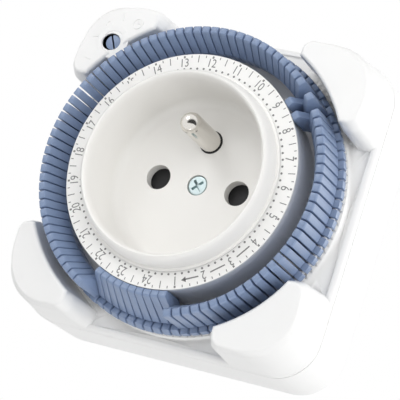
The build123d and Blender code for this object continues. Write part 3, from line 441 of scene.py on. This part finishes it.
# --------------------------------------------------------------------------------------- socket cup
# Round socket recess moulded in white plastic, smoother than the case. Its lip rolls down outside to a thin
# flange that keeps the dial on, and a small moulded pointer, a low wedge, spreads from it over the print.
cup_white = plastic("white_cup_plastic", (0.86, 0.85, 0.825), 0.34, grain=0.12)
RECESS_RADIUS = 19.5
FLOOR_FILLET = 2.6
CUP_FLOOR = 2.5
FLOOR_DISC = 14.0
CUP_STEPS = 128
FILLET_STEPS = 8
HOLE_STEPS = 40
CREST_WIDTH = 0.95
CREST_DROP = 2.6
CREST = 14.9
OUTSIDE = [(20.8, 14.65), (21.15, 14.05), (21.45, 13.2), (21.66, 12.2), (21.78, 11.3), (21.82, 10.6),
           (22.35, 10.55), (22.42, 10.45), (22.42, 10.25), (21.5, 10.25), (21.5, -12), (19.5, -12)]
CONTACT_OFFSET = 9.5
CONTACT_HOLE = 2.8
EARTH_OFFSET = 10.0
EARTH_HOLE = 2.68
SCREW_HOLE = 2.34
HOLES = [(-CONTACT_OFFSET, 0, CONTACT_HOLE), (CONTACT_OFFSET, 0, CONTACT_HOLE), (0, EARTH_OFFSET, EARTH_HOLE),
         (0, 0, SCREW_HOLE)]
cup_shape = bmesh.new()
corner = [math.radians(90 * step / FILLET_STEPS) for step in range(FILLET_STEPS + 1)]
cup_section = [(FLOOR_DISC, 0)]
cup_section += [(RECESS_RADIUS - FLOOR_FILLET * (1 - math.sin(angle)), FLOOR_FILLET * (1 - math.cos(angle)))
                for angle in corner]
cup_section += [(RECESS_RADIUS + CREST_WIDTH * (1 - math.cos(angle)),
                 CREST - CREST_DROP * (1 - math.sin(angle))) for angle in corner]
cup_section += OUTSIDE + [(RECESS_RADIUS, -CUP_FLOOR), (FLOOR_DISC, -CUP_FLOOR)]
turned(cup_shape, cup_section, False, CUP_STEPS)
rims = {}
for height in (0, -CUP_FLOOR):
    rims[height] = []
    for x, z, radius in [(0, 0, FLOOR_DISC)] + HOLES:
        made = bmesh.ops.create_circle(cup_shape, segments=CUP_STEPS if radius == FLOOR_DISC else HOLE_STEPS,
                                       radius=radius * MM,
                                       matrix=to_face(height) @ Matrix.Translation((x * MM, z * MM, 0)))
        rims[height].append(list({e for v in made["verts"] for e in v.link_edges}))
    bmesh.ops.triangle_fill(cup_shape, use_beauty=True, edges=[e for rim in rims[height] for e in rim],
                            normal=(0, -1, 0))
for upper, lower in zip(rims[0][1:], rims[-CUP_FLOOR][1:]):
    bmesh.ops.bridge_loops(cup_shape, edges=upper + lower)
bmesh.ops.remove_doubles(cup_shape, verts=cup_shape.verts, dist=2 * MERGE)
bmesh.ops.recalc_face_normals(cup_shape, faces=cup_shape.faces)
recess = new_piece("socket_recess", cup_shape, cup_white, "housing")
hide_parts("socket_cup")

POINTER_ANGLE = 135.8
POINTER = [(24.75, 0.2), (24.1, 1.5), (21.6, 2.6), (21.6, -2.8), (23.7, -1.6)]
POINTER_FOOT = 10.12
POINTER_THICKNESS = 0.45
POINTER_ROUND = 0.2
pointer_shape = bmesh.new()
low_ring = [pointer_shape.verts.new((along * MM, across * MM, 0)) for along, across in POINTER]
grown = bmesh.ops.extrude_face_region(pointer_shape, geom=[pointer_shape.faces.new(low_ring)])
raised = [v for v in grown["geom"] if isinstance(v, bmesh.types.BMVert)]
bmesh.ops.translate(pointer_shape, verts=raised, vec=(0, 0, POINTER_THICKNESS * MM))
bmesh.ops.recalc_face_normals(pointer_shape, faces=pointer_shape.faces)
bmesh.ops.bevel(pointer_shape, geom=[e for e in pointer_shape.edges if all(v in raised for v in e.verts)],
                offset=POINTER_ROUND * MM, segments=2, profile=0.5, affect="EDGES", material=-1,
                clamp_overlap=True)
bmesh.ops.transform(pointer_shape, matrix=to_face(POINTER_FOOT) @ turn(POINTER_ANGLE),
                    verts=pointer_shape.verts)
new_piece("time_pointer", pointer_shape, cup_white, "housing")

# ----------------------------------------------------------------------------------- socket metals
# The earth pin of the socket and the two plug pins are turned from brass and bright nickel plated, and a
# black ring at the earth pin's foot is painted shade, standing in for the shadow in the gap round it. The
# centre screw is zinc plated steel with a cross recess, and the contacts are stamped from brass.
nickel = metal("bright_nickel", (0.80, 0.775, 0.73), 0.14, streak=0.05)
for pin in ("line_plug_pin", "neutral_plug_pin"):
    dress(pin, nickel)
PIN_RADIUS = 2.4
PIN_LENGTH = 14.0
PIN_STEPS = 64
DOME_STEPS = 12
PIN_COLLAR = 2.6
COLLAR_TOP = -0.35
PIN_TAIL = 1.8
FOOT_SHADE_RING = [(2.42, 0.04), (2.66, 0.04), (2.66, -0.3), (2.42, -0.3)]
FOOT_SHADE_STEPS = 48
tail_end = SOCKET_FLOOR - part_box("front_earth_pin")[1].y / MM
dome = [math.radians(90 * step / DOME_STEPS) for step in range(DOME_STEPS + 1)]
pin_section = [(PIN_RADIUS * math.sin(angle), PIN_LENGTH - PIN_RADIUS * (1 - math.cos(angle)))
               for angle in dome]
pin_section += [(PIN_RADIUS, COLLAR_TOP), (PIN_COLLAR, COLLAR_TOP), (PIN_COLLAR, -CUP_FLOOR),
                (PIN_TAIL, -CUP_FLOOR), (PIN_TAIL, tail_end), (0, tail_end)]
pin_shape = bmesh.new()
turned(pin_shape, pin_section, False, PIN_STEPS)
bmesh.ops.translate(pin_shape, verts=pin_shape.verts, vec=(0, 0, EARTH_OFFSET * MM))
round_pin = new_piece("round_earth_pin", pin_shape, nickel, "housing")
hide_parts("front_earth_pin")
# Thin black ring round the pin's foot: painted shade for the dark gap between the pin and the floor.
foot_shade_ring = bmesh.new()
turned(foot_shade_ring, FOOT_SHADE_RING, True, FOOT_SHADE_STEPS)
bmesh.ops.translate(foot_shade_ring, verts=foot_shade_ring.verts, vec=(0, 0, EARTH_OFFSET * MM))
new_piece("earth_pin_shade_ring", foot_shade_ring, black, "housing")
dress("centre_screw", zinc)
brass = metal("stamped_brass", (0.72, 0.56, 0.28), 0.34)
for contact in ("line_contact", "neutral_contact", "earth_sleeve"):
    dress(contact, brass)

# ----------------------------------------------------------------------------------- parts within
# Inside the case: the child safety shutter and the microswitch in black plastic, the grey insulating block
# that carries the contacts, the pinion and the trip lever in the same grey, the switch's blue plunger, and
# the motor's can and the lever's pin in steel.
dress("safety_shutter", black)
dress("microswitch", black)
grey = plastic("grey_insulator_plastic", (0.36, 0.36, 0.36), 0.5)
for hidden in ("contact_carrier", "motor_pinion", "trip_lever"):
    dress(hidden, grey)
dress("switch_plunger", blue)
steel = metal("plain_steel", (0.58, 0.58, 0.57), 0.38)
for hidden in ("motor_case", "trip_lever_pin"):
    dress(hidden, steel)

# ------------------------------------------------------------------------------------- program drum
# White drum that turns once a day round the cup; its deck carries the dial and its flange the segments.
# It is moulded in one, in a plastic a little cooler in tone than the case.
drum_white = plastic("white_drum_plastic", (0.84, 0.85, 0.87), 0.38)
dress("program_drum", drum_white)

# --------------------------------------------------------------------------------------------- dial
# Thin white ring printed in grey: hour numerals, a mark for each quarter hour and the arrow that shows
# which way the dial turns. The ink stands a hair above the plastic.
dial_white = plastic("white_dial_plastic", (0.86, 0.855, 0.84), 0.48, grain=0.3)
dress("dial_ring", dial_white)

ink = plastic("grey_print", (0.2, 0.2, 0.2), 0.55)
DIAL_FACE = 10.0
DIAL_ANGLE = 271.67
HOURS = 24
QUARTERS = 4 * HOURS
INK_LIFT = 0.015
DOT_CIRCLE = 22.9
DOT_RADIUS = 0.25
DOT_STEPS = 12
EDGE_MARK_RADIUS = 25.95
QUARTER_TICK = 0.55
HALF_TICK = 1.6
HOUR_TICK = 0.5
FINE_LINE = 0.19
HEAVY_LINE = 0.42
ARROW_LINE = 0.3
ARROW_CIRCLE = 24.35
ARROW_HEAD_RADIUS = 0.7
ARROW_DASHES = [(3.78, 3.24), (2.78, 2.24)]
ARROW_SHAFT = (1.82, 1.32)
ARROW_FIRST_HOUR = 1
ARROW_LAST_HOUR = 4
NUMERAL_CIRCLE = 24.3
NUMERAL_HEIGHT = 1.92
NUMERAL_SQUEEZE = 0.82
CAPITAL_SHARE = 0.7
LETTER_STEPS = 3


def hour_angle(hour):
    """Where an hour stands on the dial, in degrees."""
    return DIAL_ANGLE + 360 * hour / HOURS


def ink_bar(shape, angle, outer, length, width):
    """A printed mark that runs in from an outer radius, at an angle round the dial."""
    place = turn(angle) @ Matrix.Translation(((outer - length / 2) * MM, 0, 0)) @ Matrix.Diagonal(
        (length * MM / 2, width * MM / 2, 1, 1))
    bmesh.ops.create_grid(shape, x_segments=1, y_segments=1, size=1, matrix=place)


def ink_line(shape, start, end):
    """A straight line of the arrow between two hours; gives its direction and its end."""
    tail, head = (turn(hour_angle(hour)) @ Vector((ARROW_CIRCLE, 0, 0)) for hour in (start, end))
    along = head - tail
    place = Matrix.Translation((tail + head) / 2 * MM) @ Matrix.Rotation(math.atan2(along.y, along.x), 4, "Z")
    place = place @ Matrix.Diagonal((along.length * MM / 2, ARROW_LINE * MM / 2, 1, 1))
    bmesh.ops.create_grid(shape, x_segments=1, y_segments=1, size=1, matrix=place)
    return along.normalized(), head


marks = bmesh.new()
for quarter in range(QUARTERS):
    angle = hour_angle(quarter / 4)
    bmesh.ops.create_circle(marks, cap_ends=True, segments=DOT_STEPS, radius=DOT_RADIUS * MM,
                            matrix=turn(angle) @ Matrix.Translation((DOT_CIRCLE * MM, 0, 0)))
    under_arrow = 4 * ARROW_FIRST_HOUR < quarter < 4 * ARROW_LAST_HOUR
    if quarter % 4 == 0:
        ink_bar(marks, angle, EDGE_MARK_RADIUS, HOUR_TICK, HEAVY_LINE)
    elif quarter % 4 == 2 and not under_arrow:
        ink_bar(marks, angle, EDGE_MARK_RADIUS, HALF_TICK, FINE_LINE)
    else:
        ink_bar(marks, angle, EDGE_MARK_RADIUS, QUARTER_TICK, FINE_LINE)
for start, end in ARROW_DASHES:
    ink_line(marks, start, end)
heading, arrow_tip = ink_line(marks, *ARROW_SHAFT)
bmesh.ops.create_circle(marks, cap_ends=True, segments=3, radius=ARROW_HEAD_RADIUS * MM,
                        matrix=Matrix.Translation(arrow_tip * MM) @ Matrix.Rotation(
                            math.atan2(heading.y, heading.x) - math.radians(90), 4, "Z"))
bmesh.ops.transform(marks, matrix=to_face(DIAL_FACE + INK_LIFT), verts=marks.verts)
new_piece("dial_marks", marks, ink, "drum")


def lettering(name, words, height, squeeze, paint, body, depth=0.0):
    """Words as one mesh: each is (text, place), where place takes the drawing to its place on the switch."""
    shape = bmesh.new()
    for text, place in words:
        font = bpy.data.curves.new(name, "FONT")
        font.body = text
        font.align_x = "CENTER"
        font.align_y = "CENTER"
        font.size = height / CAPITAL_SHARE * MM
        font.extrude = depth * MM
        font.resolution_u = LETTER_STEPS
        holder = bpy.data.objects.new(name, font)
        mesh = bpy.data.meshes.new_from_object(holder)
        mesh.transform(place @ Matrix.Diagonal((squeeze, 1, 1, 1)))
        shape.from_mesh(mesh)
        bpy.data.objects.remove(holder)
        bpy.data.curves.remove(font)
        bpy.data.meshes.remove(mesh)
    return new_piece(name, shape, paint, body)


hours = [(str(hour), to_face(DIAL_FACE + INK_LIFT) @ turn(hour_angle(hour) - 90)
          @ Matrix.Translation((0, NUMERAL_CIRCLE * MM, 0))) for hour in range(1, HOURS + 1)]
lettering("dial_numerals", hours, NUMERAL_HEIGHT, NUMERAL_SQUEEZE, ink, "drum")

# ------------------------------------------------------------------------------- marks on the guard
# Marks raised on the upper left guard round the knob's hole: 0, I and a clock for its three places, and two
# short lines beside it. They are moulded in one with the guard, in its own white plastic.
GUARD_TOP = 8.4
GUARD_INNER_RADIUS = 35.0
RELIEF = 0.14
SIGN_HEIGHT = 2.2
SIGN_SQUEEZE = 0.85
ZERO_PLACE = (-29.3, 29.75, 45)
ONE_PLACE = (-26.45, 32.2, 12)
LINE_WIDTH = 0.25
SHORT_LINES = [(-31.6, 26.7, 2, 1.5), (-31.5, 21.2, -12, 2.0)]
CLOCK_PLACE = (-22.1, 30.95, 0)
CLOCK_RADIUS = 1.35
CLOCK_LINE = 0.28
CLOCK_STEPS = 32
CLOCK_HANDS = [(-22.1, 31.35, 90, 0.8), (-21.8, 30.95, 0, 0.8)]
diagonal = math.sin(math.radians(FACET_TILT)) * math.sqrt(0.5)
facet_normal = Vector((-diagonal, -math.cos(math.radians(FACET_TILT)), diagonal))
facet_right = (Vector((1, 0, 0)) - facet_normal * facet_normal.x).normalized()
facet_up = facet_normal.cross(facet_right)


def on_facet(x, z, spin):
    """Takes a drawing in X and Y to the guard's sloping top, turned by an angle."""
    outward = (z - x) * math.sqrt(0.5) - GUARD_INNER_RADIUS
    height = GUARD_TOP - outward * math.tan(math.radians(FACET_TILT))
    axes = Matrix((facet_right, facet_up, facet_normal)).transposed().to_4x4()
    return Matrix.Translation((x * MM, (SOCKET_FLOOR - height) * MM, z * MM)) @ axes @ turn(spin)


signs = [("O", on_facet(*ZERO_PLACE)), ("I", on_facet(*ONE_PLACE))]
lettering("guard_signs", signs, SIGN_HEIGHT, SIGN_SQUEEZE, white_case, "housing", RELIEF)
guard_lines = bmesh.new()
for x, z, spin, length in SHORT_LINES + CLOCK_HANDS:
    bmesh.ops.create_cube(guard_lines, size=1, matrix=on_facet(x, z, spin) @ Matrix.Diagonal(
        (length * MM, LINE_WIDTH * MM, 2 * RELIEF * MM, 1)))
new_piece("guard_lines", guard_lines, white_case, "housing")
clock_ring = bmesh.new()
bmesh.ops.create_circle(clock_ring, cap_ends=True, segments=CLOCK_STEPS, radius=CLOCK_RADIUS * MM,
                        matrix=on_facet(*CLOCK_PLACE))
bmesh.ops.inset_individual(clock_ring, faces=clock_ring.faces[:], thickness=CLOCK_LINE * MM)
bmesh.ops.delete(clock_ring, geom=[f for f in clock_ring.faces if len(f.verts) == CLOCK_STEPS],
                 context="FACES_ONLY")
grown = bmesh.ops.extrude_face_region(clock_ring, geom=clock_ring.faces[:])
bmesh.ops.translate(clock_ring, verts=[v for v in grown["geom"] if isinstance(v, bmesh.types.BMVert)],
                    vec=facet_normal * RELIEF * MM)
bmesh.ops.recalc_face_normals(clock_ring, faces=clock_ring.faces)
new_piece("clock_sign", clock_ring, white_case, "housing")

# ----------------------------------------------------------------------------------------- segments
# Ninety six blue plastic segments, one for each quarter hour, snapped onto the drum's bead. Pushed in,
# towards the dial, a segment switches the socket on; the twelve that are pushed in tilt on their own.
PIVOT = (32.2, -0.3)
SEGMENT_WIDTH = 1.68
SEGMENT_EDGE = 0.14
SEGMENT_TILT = 23.0
ROUNDED_FROM = 20
OUTLINE = [(30.5, 10.9), (30.85, 11.4), (32.1, 11.35), (32.35, 10.9), (32.45, 2.2), (31.8, 2.03), (31.8, 1.5),
           (33.4, 1.4), (33.4, -0.4), (32.9, -1.3), (31.9, -1.3), (31.0, 0.1), (29.1, 0.6), (28.6, 1.4),
           (28.3, 5.4)]
ON_RUN_START = 89
ON_RUN_LENGTH = 10
ON_ALONE = [33, 35]


def segment(shape, quarter, tilt):
    """Adds the segment of one quarter hour: its section spread, thickened, its edges rounded, then placed."""
    section = [shape.verts.new((radius * MM, (SOCKET_FLOOR - height) * MM, -SEGMENT_WIDTH * MM / 2))
               for radius, height in OUTLINE]
    grown = bmesh.ops.extrude_face_region(shape, geom=[shape.faces.new(section)])
    far = [v for v in grown["geom"] if isinstance(v, bmesh.types.BMVert)]
    bmesh.ops.translate(shape, verts=far, vec=(0, 0, SEGMENT_WIDTH * MM))
    mine = section + far
    bmesh.ops.recalc_face_normals(shape, faces=list({f for v in mine for f in v.link_faces}))
    edges = list({e for v in mine for e in v.link_edges})
    edges = [e for e in edges if e.calc_face_angle(0) > math.radians(ROUNDED_FROM)]
    rounded = bmesh.ops.bevel(shape, geom=edges, offset=SEGMENT_EDGE * MM, segments=2, profile=0.5,
                              affect="EDGES", material=-1, clamp_overlap=True)
    mine = list({v for f in rounded["faces"] for v in f.verts} | {v for v in mine if v.is_valid})
    pivot = Matrix.Translation((PIVOT[0] * MM, (SOCKET_FLOOR - PIVOT[1]) * MM, 0))
    rocked = pivot @ Matrix.Rotation(math.radians(-tilt), 4, "Z") @ pivot.inverted()
    swing = Matrix.Rotation(-math.radians(hour_angle((quarter + 0.5) / 4)), 4, "Y")
    bmesh.ops.transform(shape, matrix=swing @ rocked, verts=mine)


pushed_in = [(ON_RUN_START + step) % QUARTERS for step in range(ON_RUN_LENGTH)] + ON_ALONE
ring = bmesh.new()
for quarter in range(QUARTERS):
    if quarter not in pushed_in:
        segment(ring, quarter, 0)
outward = new_piece("outward_segments", ring, blue, "drum")
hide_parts("segments_off")
for quarter in pushed_in:
    name = f"segment_{quarter // 4:02d}_{15 * (quarter % 4):02d}"
    single = bmesh.new()
    segment(single, quarter, SEGMENT_TILT)
    pressed = new_piece("pressed_" + name, single, blue, name)
    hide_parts(name)
